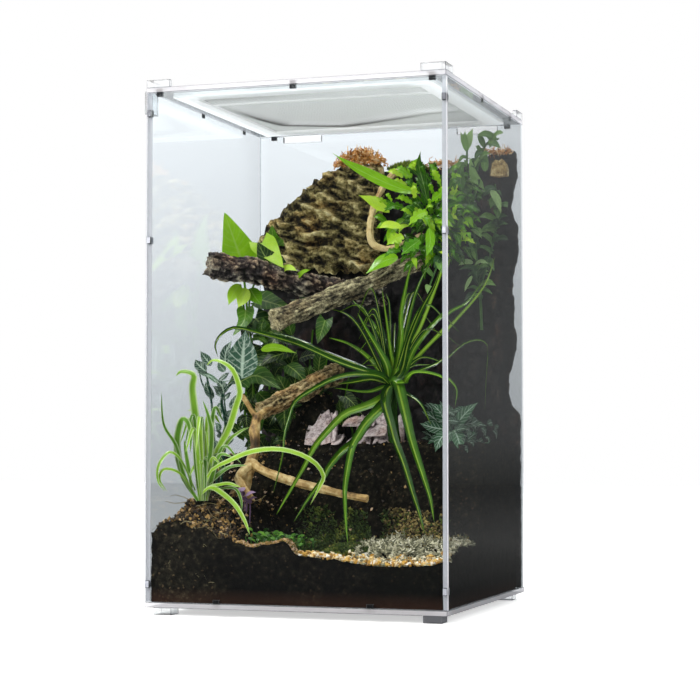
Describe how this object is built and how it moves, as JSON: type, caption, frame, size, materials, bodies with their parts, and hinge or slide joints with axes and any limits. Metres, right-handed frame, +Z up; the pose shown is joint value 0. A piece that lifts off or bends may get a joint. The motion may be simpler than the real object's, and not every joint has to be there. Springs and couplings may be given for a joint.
{
  "type": "terrarium",
  "caption": "Tall clear acrylic reptile terrarium with a lift-off vented lid, a pull-off magnetic front and a planted interior of soil, cork, driftwood and leafy plants",
  "frame": {"origin": "middle of the case's footprint, on the surface under its feet", "axes": "+X to the right seen from the front, +Y to the back, +Z up"},
  "size_m": [0.2473, 0.244, 0.418],
  "materials": {
    "clear_acrylic": "clear cast acrylic sheet, polished",
    "magnet": "black coated block magnet",
    "white_plastic": "white plastic strip, satin",
    "steel_mesh": "fine woven stainless mesh",
    "soil": "damp dark soil and coconut fibre",
    "moss": "living moss",
    "lichen": "pale curly lichen",
    "gravel": "fine mixed gravel",
    "pale_bark": "weathered pale bark",
    "dark_bark": "dark rough bark",
    "cork": "natural cork bark, deeply furrowed",
    "driftwood": "pale smooth driftwood",
    "sphagnum": "dried sphagnum moss",
    "light_leaf": "living leaf, pale stripes",
    "dark_leaf": "living leaf, dark with pale midrib",
    "bright_leaf": "living leaf, yellow-green",
    "silver_leaf": "living leaf, silver bands"
  },
  "bodies": {
    "enclosure": {"base_plate": "clear_acrylic", "rear_wall": "clear_acrylic", "left_wall": "clear_acrylic", "right_wall": "clear_acrylic", "foot_front_left": "clear_acrylic", "foot_front_right": "clear_acrylic", "foot_rear_left": "clear_acrylic", "foot_rear_right": "clear_acrylic", "wall_magnets": "magnet", "edge_magnets": "magnet", "base_magnets": "magnet", "soil_bed": "soil", "moss_mat": "moss", "lichen_patch": "lichen", "gravel_strip": "gravel", "bark_chips": "pale_bark", "backing_bark": "dark_bark", "cork_slab": "cork", "branch_upper": "dark_bark", "branch_lower": "cork", "driftwood": "driftwood", "bark_log": "cork", "root_loop": "driftwood", "sphagnum_tuft": "sphagnum", "moss_cushion": "moss", "grass_plant_left": "light_leaf", "grass_plant_centre": "dark_leaf", "arrowhead_vine": "bright_leaf", "silver_plant": "silver_leaf", "leafy_fern": "bright_leaf", "climber": "dark_leaf", "veined_plant": "silver_leaf"},
    "front_door": {"front_panel": "clear_acrylic", "panel_top_magnets": "magnet", "panel_side_magnets": "magnet", "panel_base_magnets": "magnet"},
    "lid": {"lid_plate": "clear_acrylic", "mesh_frame": "white_plastic", "vent_mesh": "steel_mesh", "cross_strip": "white_plastic", "pull_tab": "clear_acrylic", "lid_magnets": "magnet", "keeper_front_left": "clear_acrylic", "keeper_front_right": "clear_acrylic", "keeper_rear_left": "clear_acrylic", "keeper_rear_right": "clear_acrylic"}
  },
  "joints": [
    {"name": "front_pull", "type": "slide", "parent": "enclosure", "child": "front_door", "axis": [0, -1, 0], "range_m": [0, 0.06]},
    {"name": "lid_lift", "type": "slide", "parent": "enclosure", "child": "lid", "axis": [0, 0, 1], "range_m": [0, 0.06]}
  ]
}
